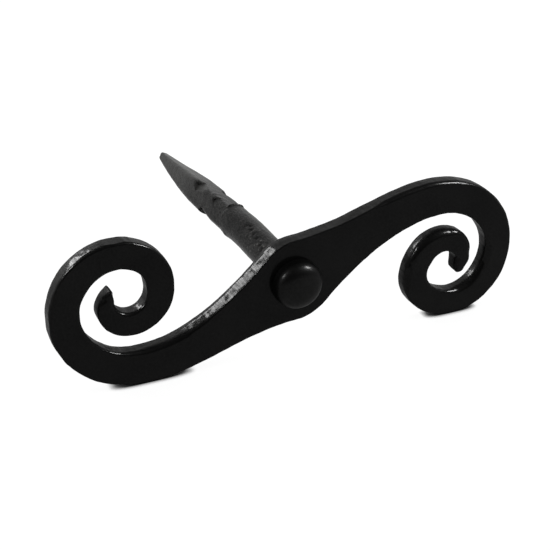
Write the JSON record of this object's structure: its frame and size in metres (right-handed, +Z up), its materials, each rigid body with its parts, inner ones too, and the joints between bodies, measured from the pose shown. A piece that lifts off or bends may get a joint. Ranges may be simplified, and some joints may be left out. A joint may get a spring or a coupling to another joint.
{
  "type": "shutter dog",
  "caption": "S-shaped scroll plate that turns on a barbed wall spike with a riveted head, to hold an open window shutter back against the wall.",
  "frame": {"origin": "on the spike's axis, at the shoulder behind the plate, where the round shank starts", "axes": "+X along the plate, +Y along the spike into the wall, +Z up"},
  "size_m": [0.185, 0.1437, 0.0576],
  "materials": {
    "plate_paint": "satin black paint on cut plate",
    "spike_paint": "dull black paint on a rough forging"
  },
  "bodies": {
    "spike": {"spike": "spike_paint"},
    "plate": {"scroll_plate": "plate_paint"}
  },
  "joints": [
    {"name": "plate_turn", "type": "hinge", "parent": "spike", "child": "plate", "pos_m": [0, -0.0031, 0], "axis": [0, 1, 0], "continuous": true}
  ]
}
